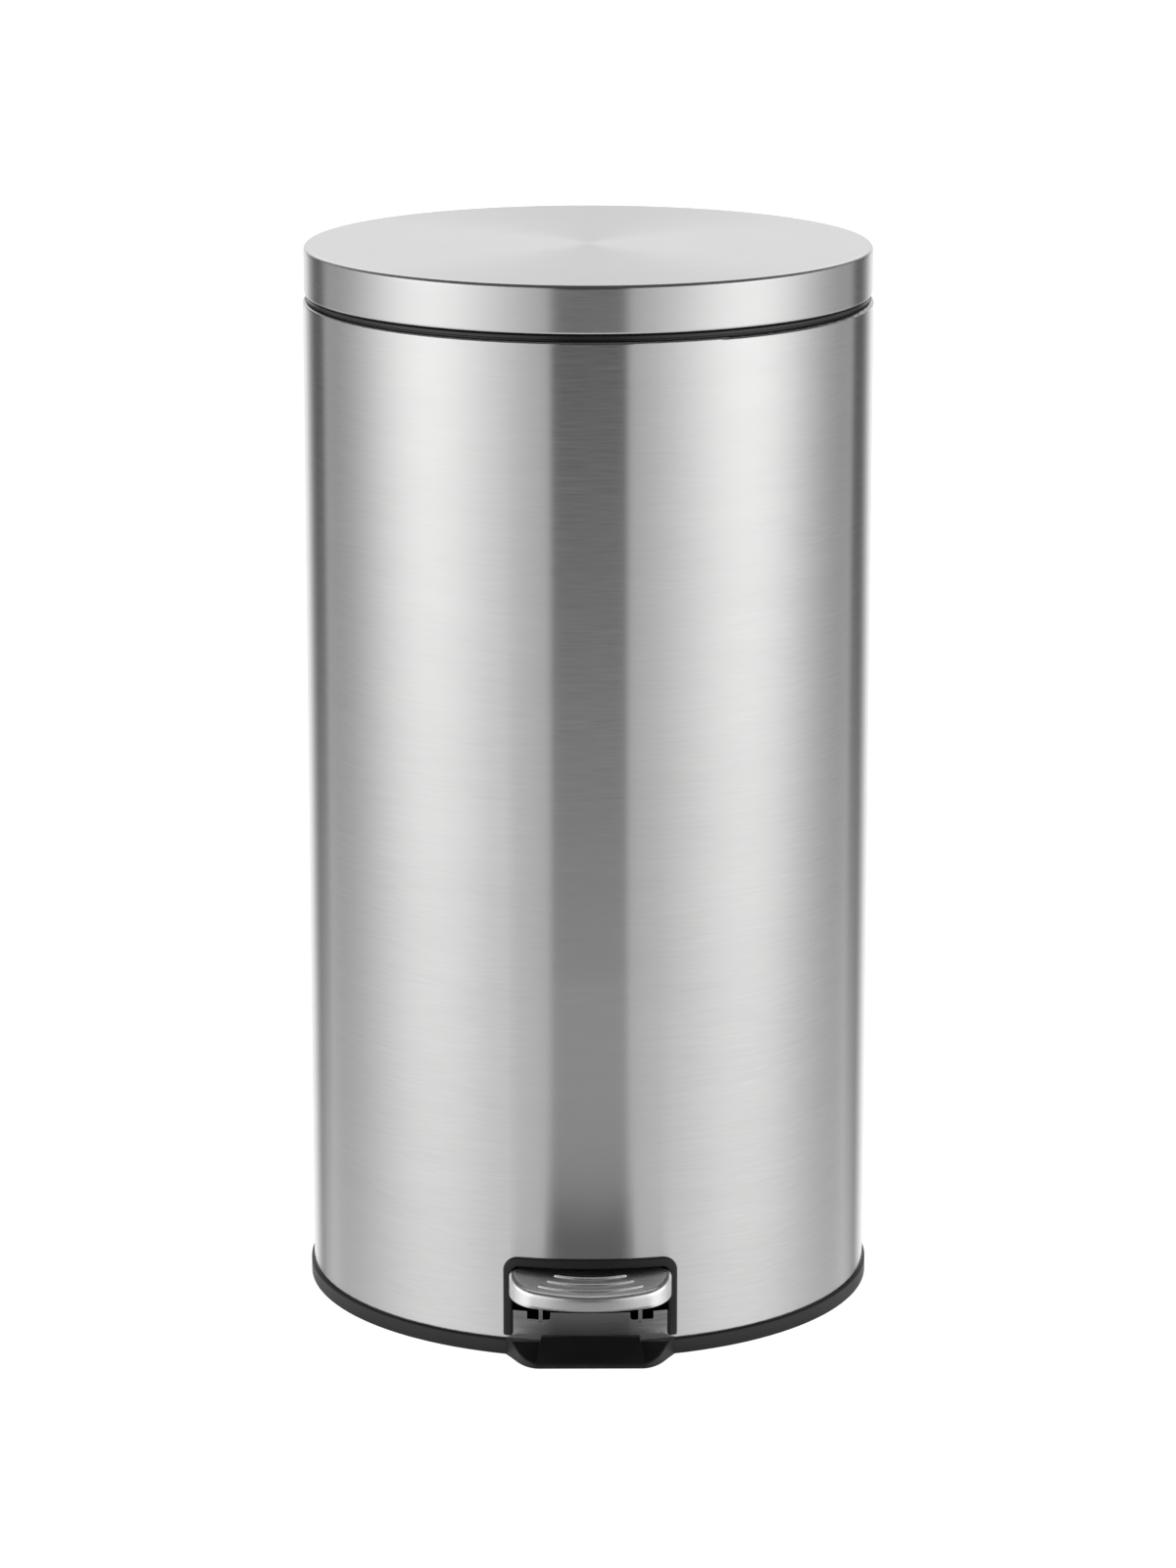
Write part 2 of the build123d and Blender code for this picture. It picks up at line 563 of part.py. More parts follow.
with BuildPart() as rod_head:
    # yoke: a block on the rod with two cheeks, each slotted for the crank's pin
    with BuildSketch(Plane.YZ.offset(-6)):
        with Locations((ROD_Y, CRANK_Z)):
            Rectangle(2 * (HALF_RUN + CRANK_PIN_R + 2.2), 10, align=(Align.CENTER, Align.CENTER))
            Rectangle(2 * (HALF_RUN + CRANK_PIN_R + 2.2), 18, align=(Align.CENTER, Align.MAX))
        with Locations((ROD_Y, CRANK_Z)):
            SlotOverall(2 * (HALF_RUN + CRANK_PIN_R + 0.75), 5.8, mode=Mode.SUBTRACT)
    extrude(amount=12)
    with Locations((0, ROD_Y, HEAD_BASE)):
        Box(7, 30, 30, align=(Align.CENTER, Align.CENTER, Align.MIN), mode=Mode.SUBTRACT)
    with BuildSketch(Plane.XY.offset(HEAD_BASE - 30)):
        with Locations((0, ROD_Y)):
            Circle(ROD_R + 0.02)
    extrude(amount=28, mode=Mode.SUBTRACT)
rod_head.part.label = "rod_head"
export_step(rod_head.part, "parts/rod_head.step")

with BuildPart() as rod_guides:
    for z in (130, 390):
        with BuildSketch(Plane.XY.offset(z - 8)):
            with Locations((0, 146)):
                Rectangle(32, 6.5, align=(Align.CENTER, Align.MAX))
            with Locations((0, ROD_Y)):
                Circle(5.6)
            Circle(BODY_R - BODY_T - 0.05, mode=Mode.INTERSECT)
            with Locations((0, ROD_Y)):
                Circle(ROD_R + 0.06, mode=Mode.SUBTRACT)
        extrude(amount=16)
    for angle, z in [(a, h) for a in (-4.4, 4.4) for h in (130, 390)]:
        with BuildSketch(radial_plane(angle, 130, z)):
            Circle(1.62)
        extrude(amount=30, mode=Mode.SUBTRACT)
rod_guides.part.label = "rod_guides"
export_step(rod_guides.part, "parts/rod_guides.step")

with BuildPart() as guide_rivets:
    for angle, z in [(a, h) for a in (-4.4, 4.4) for h in (130, 390)]:
        with BuildSketch(radial_plane(angle, 140.5, z)):
            Circle(1.6)
        extrude(amount=BODY_R + 0.05 - 140.5)
        with BuildSketch(radial_plane(angle, BODY_R + 0.05, z)):
            Circle(3.4)
        extrude(amount=1.3)
    fillet(
        guide_rivets.edges().filter_by(GeomType.CIRCLE).filter_by(
            lambda e: abs(math.hypot(e.arc_center.X, e.arc_center.Y) - BODY_R - 1.35) < 0.02
        ),
        0.9,
    )
guide_rivets.part.label = "guide_rivets"
export_step(guide_rivets.part, "parts/guide_rivets.step")

# ---------------------------------------------------------------- hinge
KNUCKLE_R = 7.0
BARREL_R = 5.5
with BuildPart() as hinge_housing:
    # outline from the side: sloping foot, straight back, round knuckles on top
    with BuildSketch(Plane.YZ.offset(-36)):
        with BuildLine():
            FilletPolyline(
                (130, 476), (147, 476), (HINGE_Y + KNUCKLE_R, 492), (HINGE_Y + KNUCKLE_R, HINGE_Z), (130, HINGE_Z),
                radius=[0, 2, 5, 0, 0], close=True,
            )
        make_face()
    extrude(amount=72)
    fillet(hinge_housing.edges().filter_by(Axis.Z).filter_by(lambda e: e.center().Y > 158), 5)
    # the top steps down outside the knuckles
    for x in (-36.5, 32):
        with BuildSketch(Plane.YZ.offset(x)):
            with Locations((120, 512)):
                Rectangle(60, 30, align=(Align.MIN, Align.MIN))
        extrude(amount=4.5, mode=Mode.SUBTRACT)
    with BuildSketch(Plane.YZ.offset(-32)):
        with Locations((HINGE_Y, HINGE_Z)):
            Circle(KNUCKLE_R)
    extrude(amount=64)
    # front of the knuckles stays clear of the lid
    with BuildSketch(Plane.YZ.offset(-40)):
        with Locations((HINGE_Y - KNUCKLE_R, 519)):
            Rectangle(30, 30, align=(Align.MAX, Align.MIN))
    extrude(amount=80, mode=Mode.SUBTRACT)
    # space between the knuckles for the lid's barrel, and below it for the crank
    with BuildSketch(Plane.YZ.offset(-19)):
        with Locations((HINGE_Y, HINGE_Z)):
            Circle(BARREL_R + 0.8)
            Rectangle(40, 30, align=(Align.CENTER, Align.MIN))
        with Locations((HINGE_Y - 1, HINGE_Z)):
            Rectangle(30, 9, align=(Align.MAX, Align.MAX))
    extrude(amount=38, mode=Mode.SUBTRACT)
    with BuildSketch(Plane.YZ.offset(-4)):
        with Locations((HINGE_Y + 1.5, 501)):
            Rectangle(30, 40, align=(Align.MAX, Align.MIN))
    extrude(amount=8, mode=Mode.SUBTRACT)
    # back of the body
    with Locations((0, 0, 460)):
        Cylinder(BODY_R + 0.05, 80, align=(Align.CENTER, Align.CENTER, Align.MIN), mode=Mode.SUBTRACT)
    with BuildSketch(Plane.YZ.offset(-40)):
        with Locations((HINGE_Y, HINGE_Z)):
            Circle(HINGE_PIN_R + 0.02)
    extrude(amount=80, mode=Mode.SUBTRACT)
    for angle, z in [(a, h) for a in (-9.5, 9.5) for h in (489, 498)]:
        with BuildSketch(radial_plane(angle, 130, z)):
            Circle(2.02)
        extrude(amount=24.5, mode=Mode.SUBTRACT)
hinge_housing.part.label = "hinge_housing"
export_step(hinge_housing.part, "parts/hinge_housing.step")

with BuildPart() as hinge_pin:
    with BuildSketch(Plane.YZ.offset(-32.5)):
        with Locations((HINGE_Y, HINGE_Z)):
            Circle(HINGE_PIN_R)
    extrude(amount=65)
    chamfer(hinge_pin.edges().filter_by(GeomType.CIRCLE), 0.4)
hinge_pin.part.label = "hinge_pin"
export_step(hinge_pin.part, "parts/hinge_pin.step")

with BuildPart() as hinge_screws:
    for angle, z in [(a, h) for a in (-9.5, 9.5) for h in (489, 498)]:
        with BuildSketch(radial_plane(angle, 145.1, z)):
            Circle(2.0)
        extrude(amount=8.5)
        with BuildSketch(radial_plane(angle, 145.1, z)):
            Circle(3.6)
        extrude(amount=-2.2)
        with BuildSketch(radial_plane(angle, 142.9, z)):
            Rectangle(3.6, 0.8)
            Rectangle(0.8, 3.6)
        extrude(amount=1.0, mode=Mode.SUBTRACT)
hinge_screws.part.label = "hinge_screws"
export_step(hinge_screws.part, "parts/hinge_screws.step")

# ---------------------------------------------------------------- lid
LID_T = 0.8
LID_TURN = 1.0
with BuildPart() as lid_shell:
    with BuildSketch(Plane.XZ):
        with BuildLine():
            Line((0, HEIGHT), (LID_R - LID_CORNER, HEIGHT))
            CenterArc((LID_R - LID_CORNER, HEIGHT - LID_CORNER), LID_CORNER, 0, 90)
            Line((LID_R, HEIGHT - LID_CORNER), (LID_R, LID_BOTTOM + LID_TURN))
            CenterArc((LID_R - LID_TURN, LID_BOTTOM + LID_TURN), LID_TURN, -90, 90)
            Line((LID_R - LID_TURN, LID_BOTTOM), (LID_R - LID_TURN, LID_BOTTOM + LID_T))
            CenterArc((LID_R - LID_TURN, LID_BOTTOM + LID_TURN), LID_TURN - LID_T, -90, 90)
            Line((LID_R - LID_T, LID_BOTTOM + LID_TURN), (LID_R - LID_T, HEIGHT - LID_CORNER))
            CenterArc((LID_R - LID_CORNER, HEIGHT - LID_CORNER), LID_CORNER - LID_T, 0, 90)
            Polyline((LID_R - LID_CORNER, HEIGHT - LID_T), (0, HEIGHT - LID_T), (0, HEIGHT))
        make_face()
    revolve(axis=Axis.Z)
    # notch in the back of the skirt for the hinge
    with BuildSketch(Plane.XZ.offset(-120)):
        with Locations((0, LID_BOTTOM - 5)):
            Rectangle(66, 17.5, align=(Align.CENTER, Align.MIN))
    extrude(amount=-40, mode=Mode.SUBTRACT)
lid_shell.part.label = "lid_shell"
export_step(lid_shell.part, "parts/lid_shell.step")

PLATE_Z = 541.5
LID_HOLES = [(-12, 104), (12, 104), (-12, 124), (12, 124)]
with BuildPart() as lid_liner:
    with BuildSketch(Plane.XZ):
        with BuildLine():
            Polyline(
                (0, PLATE_Z), (138.5, PLATE_Z), (138.5, 534.5), (142.0, 534.5), (142.0, PLATE_Z), (144.3, PLATE_Z + 1.0),
                (144.3, 543.2), (141.5, 546.6), (138.5, 548.1), (136.0, 548.1), (136.0, PLATE_Z + 2.5), (0, PLATE_Z + 2.5), close=True,
            )
        make_face()
    revolve(axis=Axis.Z)
    with BuildSketch(Plane.XY.offset(PLATE_Z + 2.5)):
        with Locations(*LID_HOLES):
            Circle(4.5)
    extrude(amount=4.1)
    with BuildSketch(Plane.XY.offset(PLATE_Z - 1)):
        with Locations(*LID_HOLES):
            Circle(2.02)
    extrude(amount=6.5, mode=Mode.SUBTRACT)
    # gap in the rim for the hinge bracket
    with Locations((0, 140, 530)):
        Box(42, 40, PLATE_Z - 530, align=(Align.CENTER, Align.CENTER, Align.MIN), mode=Mode.SUBTRACT)
lid_liner.part.label = "lid_liner"
export_step(lid_liner.part, "parts/lid_liner.step")

with BuildPart() as lid_hinge_bracket:
    # folded plate: along the liner, down inside the rim, back to the barrel
    with BuildSketch(Plane.YZ.offset(-18.6)):
        with BuildLine():
            FilletPolyline(
                (95, PLATE_Z - 2), (138, PLATE_Z - 2), (138, HINGE_Z + 3.5), (HINGE_Y, HINGE_Z + 3.5),
                (HINGE_Y, HINGE_Z + 5.5), (140, HINGE_Z + 5.5), (140, PLATE_Z), (95, PLATE_Z),
                radius=[0, 1, 2.8, 0, 0, 0.8, 3, 0], close=True,
            )
        make_face()
        with Locations((HINGE_Y, HINGE_Z)):
            Circle(BARREL_R)
    extrude(amount=37.2)
    # crank
    with BuildSketch(Plane.YZ.offset(-1.5)):
        with Locations(Location(((HINGE_Y + CRANK_Y) / 2, (HINGE_Z + CRANK_Z) / 2), math.degrees(CRANK_A))):
            SlotCenterToCenter(CRANK, 7.4)
    extrude(amount=3)
    with BuildSketch(Plane.YZ.offset(-30)):
        with Locations((HINGE_Y, HINGE_Z)):
            Circle(HINGE_PIN_R + 0.05)
        with Locations((CRANK_Y, CRANK_Z)):
            Circle(CRANK_PIN_R + 0.02)
    extrude(amount=60, mode=Mode.SUBTRACT)
    with BuildSketch(Plane.XY.offset(PLATE_Z - 6)):
        with Locations(*LID_HOLES):
            Circle(2.1)
    extrude(amount=10, mode=Mode.SUBTRACT)
    fillet(lid_hinge_bracket.edges().filter_by(Axis.Z).filter_by(lambda e: e.center().Y < 96), 5)
lid_hinge_bracket.part.label = "lid_hinge_bracket"
export_step(lid_hinge_bracket.part, "parts/lid_hinge_bracket.step")

with BuildPart() as crank_pin:
    with BuildSketch(Plane.YZ.offset(-6.4)):
        with Locations((CRANK_Y, CRANK_Z)):
            Circle(CRANK_PIN_R)
    extrude(amount=12.8)
    for x in (-7.5, 6.4):
        with BuildSketch(Plane.YZ.offset(x)):
            with Locations((CRANK_Y, CRANK_Z)):
                Circle(3.2)
        extrude(amount=1.1)
crank_pin.part.label = "crank_pin"
export_step(crank_pin.part, "parts/crank_pin.step")

with BuildPart() as lid_screws:
    with BuildSketch(Plane.XY.offset(PLATE_Z - 2)):
        with Locations(*LID_HOLES):
            Circle(2.0)
    extrude(amount=7)
    with BuildSketch(Plane.XY.offset(PLATE_Z - 4.2)):
        with Locations(*LID_HOLES):
            Circle(3.6)
    extrude(amount=2.2)
    fillet(lid_screws.edges().group_by(Axis.Z)[0], 0.8)
    with BuildSketch(Plane.XY.offset(PLATE_Z - 4.2)):
        with Locations(*LID_HOLES):
            Rectangle(3.6, 0.8)
            Rectangle(0.8, 3.6)
    extrude(amount=1.0, mode=Mode.SUBTRACT)
lid_screws.part.label = "lid_screws"
export_step(lid_screws.part, "parts/lid_screws.step")

print(f"rod at y {ROD_Y:.3f}, lift {ROD_LIFT:.3f}, pedal swing {PEDAL_SWING:.3f} deg, crank pin y {CRANK_Y:.3f} z {CRANK_Z:.3f}")
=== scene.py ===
import json
import math

import bmesh
import bpy
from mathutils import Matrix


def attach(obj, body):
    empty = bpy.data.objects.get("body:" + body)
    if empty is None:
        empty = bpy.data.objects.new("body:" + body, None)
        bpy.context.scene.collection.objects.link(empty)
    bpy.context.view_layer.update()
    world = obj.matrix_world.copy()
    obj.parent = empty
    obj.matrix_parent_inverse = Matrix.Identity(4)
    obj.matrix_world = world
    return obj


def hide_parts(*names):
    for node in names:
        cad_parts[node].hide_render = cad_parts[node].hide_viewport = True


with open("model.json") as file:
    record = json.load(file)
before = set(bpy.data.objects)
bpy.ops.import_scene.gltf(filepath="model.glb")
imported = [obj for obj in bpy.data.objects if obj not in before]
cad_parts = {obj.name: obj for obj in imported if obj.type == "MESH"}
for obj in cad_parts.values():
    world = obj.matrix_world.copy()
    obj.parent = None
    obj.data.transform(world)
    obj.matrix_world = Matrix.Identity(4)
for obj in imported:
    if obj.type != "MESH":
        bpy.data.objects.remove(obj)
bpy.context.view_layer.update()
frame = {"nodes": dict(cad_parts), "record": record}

NODES = frame["nodes"]
scene = bpy.context.scene
scene.view_settings.view_transform = "Standard"
scene.view_settings.look = "None"

# ------------------------------------------------------------------ camera
# A long lens a little above the lid, looking down on the pedal side.
W, H = 1200, 1600
FOCAL_PX = 5479.0
DIST, EYE, PITCH = 2.72653, 0.93762, 0.24196
TURN = math.radians(0.43)
cam_data = bpy.data.cameras.new("camera")
cam_data.sensor_fit = "AUTO"
cam_data.sensor_width = 36.0
cam_data.lens = FOCAL_PX / H * 36.0
cam_data.clip_end = 60
cam = bpy.data.objects.new("camera", cam_data)
scene.collection.objects.link(cam)
cam.location = (-DIST * math.sin(TURN), -DIST * math.cos(TURN), EYE)
cam.rotation_euler = (math.pi / 2 - PITCH, 0, -TURN + 0.2 / FOCAL_PX)
scene.camera = cam


# ------------------------------------------------------------------ node helpers
class Tree:
    """Builds a node tree with short calls."""

    def __init__(self, tree):
        self.tree = tree
        tree.nodes.clear()

    def node(self, kind, **values):
        n = self.tree.nodes.new(kind)
        for k, v in values.items():
            setattr(n, k, v)
        return n

    def link(self, a, b):
        self.tree.links.new(a, b)

    def feed(self, socket, value):
        if isinstance(value, bpy.types.NodeSocket):
            self.link(value, socket)
        else:
            socket.default_value = value

    def math(self, op, a, b=0.0, c=0.0, clamp=False):
        n = self.node("ShaderNodeMath", operation=op, use_clamp=clamp)
        for s, v in zip(n.inputs, (a, b, c)):
            self.feed(s, v)
        return n.outputs[0]

    def vec(self, op, a, b=(0, 0, 0)):
        n = self.node("ShaderNodeVectorMath", operation=op)
        self.feed(n.inputs[0], a)
        self.feed(n.inputs[1], b)
        return n.outputs[0]

    def combine(self, x, y, z):
        n = self.node("ShaderNodeCombineXYZ")
        for s, v in zip(n.inputs, (x, y, z)):
            self.feed(s, v)
        return n.outputs[0]

    def noise(self, vector, scale=1.0, detail=2.0, rough=0.5):
        n = self.node("ShaderNodeTexNoise")
        n.noise_dimensions = "3D"
        self.link(vector, n.inputs["Vector"])
        n.inputs["Scale"].default_value = scale
        n.inputs["Detail"].default_value = detail
        n.inputs["Roughness"].default_value = rough
        return n.outputs["Fac"]

    def span(self, x, a, b, lo, hi, smooth=False, clamp=True):
        n = self.node("ShaderNodeMapRange", clamp=clamp)
        n.interpolation_type = "SMOOTHSTEP" if smooth else "LINEAR"
        self.link(x, n.inputs["Value"])
        for s, v in zip(("From Min", "From Max", "To Min", "To Max"), (a, b, lo, hi)):
            n.inputs[s].default_value = v
        return n.outputs["Result"]

    def mix(self, fac, a, b):
        n = self.node("ShaderNodeMix", data_type="RGBA")
        self.feed(n.inputs[0], fac)
        self.feed(n.inputs[6], a)
        self.feed(n.inputs[7], b)
        return n.outputs[2]

    def bump(self, height, distance, strength=1.0, normal=None):
        n = self.node("ShaderNodeBump")
        n.inputs["Strength"].default_value = strength
        n.inputs["Distance"].default_value = distance
        self.link(height, n.inputs["Height"])
        if normal is not None:
            self.link(normal, n.inputs["Normal"])
        return n.outputs["Normal"]


def material(name):
    m = bpy.data.materials.new(name)
    m.use_nodes = True
    t = Tree(m.node_tree)
    out = t.node("ShaderNodeOutputMaterial")
    p = t.node("ShaderNodeBsdfPrincipled")
    t.link(p.outputs[0], out.inputs[0])
    return m, t, p


def grey(v):
    return (v, v, v, 1.0)


# ------------------------------------------------------------------ materials
def brushed_turned(name, tone=0.60, rough=0.25, aniso=0.9):
    """Stainless sheet with brush lines running round the Z axis: rings on a flat top, level lines on a wall."""
    m, t, p = material(name)
    pos = t.node("ShaderNodeTexCoord").outputs["Object"]
    xyz = t.node("ShaderNodeSeparateXYZ")
    t.link(pos, xyz.inputs[0])
    x, y, z = xyz.outputs
    r = t.math("SQRT", t.math("ADD", t.math("MULTIPLY", x, x), t.math("MULTIPLY", y, y)))
    rs = t.math("MAXIMUM", r, 0.002)
    across = t.math("SUBTRACT", r, z)
    cx, cy = t.math("DIVIDE", x, rs), t.math("DIVIDE", y, rs)

    def lines(along, per_m, seed, detail=2.0):
        v = t.combine(
            t.math("MULTIPLY", cx, along),
            t.math("MULTIPLY", cy, along),
            t.math("ADD", t.math("MULTIPLY", across, per_m), seed),
        )
        return t.noise(v, 1.0, detail, 0.6)

    fine = lines(9.0, 1900.0, 3.0)
    mid = lines(5.0, 520.0, 41.0)
    broad = lines(1.6, 60.0, 77.0)
    both = t.math("ADD", t.math("MULTIPLY", fine, 0.76), t.math("MULTIPLY", mid, 0.24))
    shade = t.span(both, 0.3, 0.7, tone * 0.975, tone * 1.025)
    shade = t.math("MULTIPLY", shade, t.span(broad, 0.3, 0.7, 0.985, 1.015))
    col = t.node("ShaderNodeCombineColor")
    t.link(shade, col.inputs[0])
    t.link(shade, col.inputs[1])
    t.link(t.math("MULTIPLY", shade, 0.995), col.inputs[2])
    t.link(col.outputs[0], p.inputs["Base Color"])
    t.link(t.span(both, 0.3, 0.7, rough - 0.025, rough + 0.025), p.inputs["Roughness"])
    p.inputs["Metallic"].default_value = 1.0
    p.inputs["Anisotropic"].default_value = aniso
    p.inputs["Anisotropic Rotation"].default_value = 0.25
    tan = t.node("ShaderNodeTangent", direction_type="RADIAL", axis="Z")
    t.link(tan.outputs[0], p.inputs["Tangent"])
    t.link(t.bump(both, 0.00002, 0.22), p.inputs["Normal"])
    return m


def brushed_flat(name, tone=0.60, rough=0.28, aniso=0.7):
    """Stainless sheet brushed straight across, along X."""
    m, t, p = material(name)
    pos = t.node("ShaderNodeTexCoord").outputs["Object"]
    fine = t.noise(t.vec("MULTIPLY", pos, (40, 2200, 2200)), 1.0, 2.0, 0.6)
    mid = t.noise(t.vec("MULTIPLY", pos, (18, 500, 500)), 1.0, 2.0, 0.6)
    both = t.math("ADD", t.math("MULTIPLY", fine, 0.6), t.math("MULTIPLY", mid, 0.4))
    shade = t.span(both, 0.3, 0.7, tone * 0.975, tone * 1.025)
    col = t.node("ShaderNodeCombineColor")
    for s in col.inputs[:3]:
        t.link(shade, s)
    t.link(col.outputs[0], p.inputs["Base Color"])
    t.link(t.span(both, 0.3, 0.7, rough - 0.02, rough + 0.02), p.inputs["Roughness"])
    p.inputs["Metallic"].default_value = 1.0
    p.inputs["Anisotropic"].default_value = aniso
    p.inputs["Anisotropic Rotation"].default_value = 0.25
    tan = t.node("ShaderNodeTangent", direction_type="RADIAL", axis="X")
    t.link(tan.outputs[0], p.inputs["Tangent"])
    t.link(t.bump(both, 0.00002, 0.06), p.inputs["Normal"])
    return m


def moulded(name, tone, rough, grain=2600.0, depth=0.00004, tint=(1.0, 1.0, 1.02), gloss=0.3, foot=False):
    """Injection-moulded plastic with a fine spark-eroded grain."""
    m, t, p = material(name)
    pos = t.node("ShaderNodeTexCoord").outputs["Object"]
    speck = t.noise(pos, grain, 3.0, 0.55)
    cloud = t.noise(pos, 55.0, 4.0, 0.55)
    shade = t.math("MULTIPLY", t.span(speck, 0.3, 0.7, 0.82 * tone, 1.18 * tone), t.span(cloud, 0.3, 0.7, 0.9, 1.1))
    if foot:
        # painted shade: darker towards the floor, lighter towards the top of the base
        part = t.node("ShaderNodeSeparateXYZ")
        t.link(pos, part.inputs[0])
        shade = t.math("MULTIPLY", shade, t.span(part.outputs[2], 0.0, 0.0075, 0.45, 1.2, True))
    col = t.node("ShaderNodeCombineColor")
    for s, k in zip(col.inputs[:3], tint):
        t.link(t.math("MULTIPLY", shade, k), s)
    t.link(col.outputs[0], p.inputs["Base Color"])
    r = t.math("ADD", t.span(speck, 0.3, 0.7, rough - 0.06, rough + 0.06), t.span(cloud, 0.3, 0.7, -0.03, 0.03))
    t.link(r, p.inputs["Roughness"])
    p.inputs["Specular IOR Level"].default_value = gloss
    t.link(t.bump(speck, depth, 0.6), p.inputs["Normal"])
    return m


def plated(name, tone=0.55, rough=0.32):
    """Zinc-plated steel: faint mottling and rolling marks."""
    m, t, p = material(name)
    pos = t.node("ShaderNodeTexCoord").outputs["Object"]
    mott = t.noise(pos, 220.0, 4.0, 0.6)
    roll = t.noise(t.vec("MULTIPLY", pos, (900, 40, 900)), 1.0, 2.0, 0.5)
    both = t.math("ADD", t.math("MULTIPLY", mott, 0.6), t.math("MULTIPLY", roll, 0.4))
    shade = t.span(both, 0.3, 0.7, tone * 0.86, tone * 1.12)
    col = t.node("ShaderNodeCombineColor")
    for s, k in zip(col.inputs[:3], (1.0, 1.0, 0.98)):
        t.link(t.math("MULTIPLY", shade, k), s)
    t.link(col.outputs[0], p.inputs["Base Color"])
    t.link(t.span(both, 0.3, 0.7, rough - 0.07, rough + 0.09), p.inputs["Roughness"])
    p.inputs["Metallic"].default_value = 1.0
    t.link(t.bump(both, 0.00003, 0.4), p.inputs["Normal"])
    return m


STEEL = brushed_turned("brushed_steel_body", rough=0.20, aniso=0.92)
STEEL_LID = brushed_turned("brushed_steel_lid")
# The tread and its beads use brighter copies of the body steel (tone 0.9 and 0.96 against 0.6): painted light on
# the pedal. The beads' lower roughness is their polished finish; their brighter tone is painted highlight.
STEEL_BEAD = brushed_flat("polished_steel_bead_painted_highlight", tone=0.96, rough=0.18, aniso=0.3)
STEEL_TREAD = brushed_flat("brushed_steel_tread", tone=0.9, rough=0.285, aniso=0.3)
BLACK = moulded("black_moulding", 0.015, 0.44)
# the base moulding carries painted shade, darker towards the floor
BASE = moulded("base_moulding", 0.015, 0.42, foot=True)
COLLAR = moulded("collar_moulding", 0.012, 0.28, depth=0.00002, gloss=0.5)
PAIL = moulded("pail_moulding", 0.11, 0.40, grain=900.0, depth=0.00003)
LINER = moulded("liner_moulding", 0.035, 0.46, grain=1400.0, depth=0.00003)
NYLON = moulded("nylon", 0.62, 0.42, grain=1200.0, tint=(1.0, 0.985, 0.93))
RUBBER = moulded("rubber", 0.022, 0.72, grain=1500.0, depth=0.00008)
PLATED = plated("zinc_plated")

BY_SLOT = {"brushed_steel": STEEL, "plated_steel": PLATED, "black_plastic": BLACK, "pail_plastic": PAIL, "nylon": NYLON, "rubber": RUBBER}
SLOT_OF = {s["node"]: s["material_slot"] for s in frame["record"]["subparts"]}
for name, obj in NODES.items():
    obj.data.materials.clear()
    obj.data.materials.append({"lid_shell": STEEL_LID, "pedal_tread": STEEL_TREAD, "rim_collar": COLLAR, "base_tray": BASE, "lid_liner": LINER}.get(name) or BY_SLOT[SLOT_OF[name]])

# ------------------------------------------------------------------ finer meshes (mm, in the row's frame)
def piece(name, verts, faces, mat, body, slot, node, crease=38.0, second=None):
    """A closed mesh that stands for a CAD node and rides on its body."""
    mesh = bpy.data.meshes.new(name)
    mesh.from_pydata([(x / 1000, y / 1000, z / 1000) for x, y, z in verts], [], faces)
    bm = bmesh.new()
    bm.from_mesh(mesh)
    if not second:
        bmesh.ops.remove_doubles(bm, verts=bm.verts, dist=1e-7)
        bmesh.ops.delete(bm, geom=[v for v in bm.verts if not v.link_faces], context="VERTS")
    bmesh.ops.recalc_face_normals(bm, faces=bm.faces)
    bm.to_mesh(mesh)
    bm.free()
    mesh.shade_smooth()
    mesh.set_sharp_from_angle(angle=math.radians(crease))
    mesh.materials.append(mat)
    if second:
        mesh.materials.append(second[0])
        for poly in mesh.polygons:
            poly.material_index = 1 if min(poly.vertices) >= second[1] else 0
    obj = bpy.data.objects.new(name, mesh)
    scene.collection.objects.link(obj)
    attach(obj, body)
    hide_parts(node)
    return obj


def steps(a, b, n):
    return [a + (b - a) * i / n for i in range(n + 1)]


def bow(cx, cz, r, a0, a1, n):
    """Points on an arc, angles in degrees."""
    return [(cx + r * math.cos(math.radians(a)), cz + r * math.sin(math.radians(a))) for a in steps(a0, a1, n)]


def stitch(columns, closed, ring):
    """Vertices and quads of a grid given as columns of points; each column may close on itself."""
    n, m = len(columns), len(columns[0])
    faces = []
    for i in range(n if closed else n - 1):
        j = (i + 1) % n
        for k in range(m if ring else m - 1):
            l = (k + 1) % m
            faces.append((i * m + k, j * m + k, j * m + l, i * m + l))
    return [p for c in columns for p in c], faces


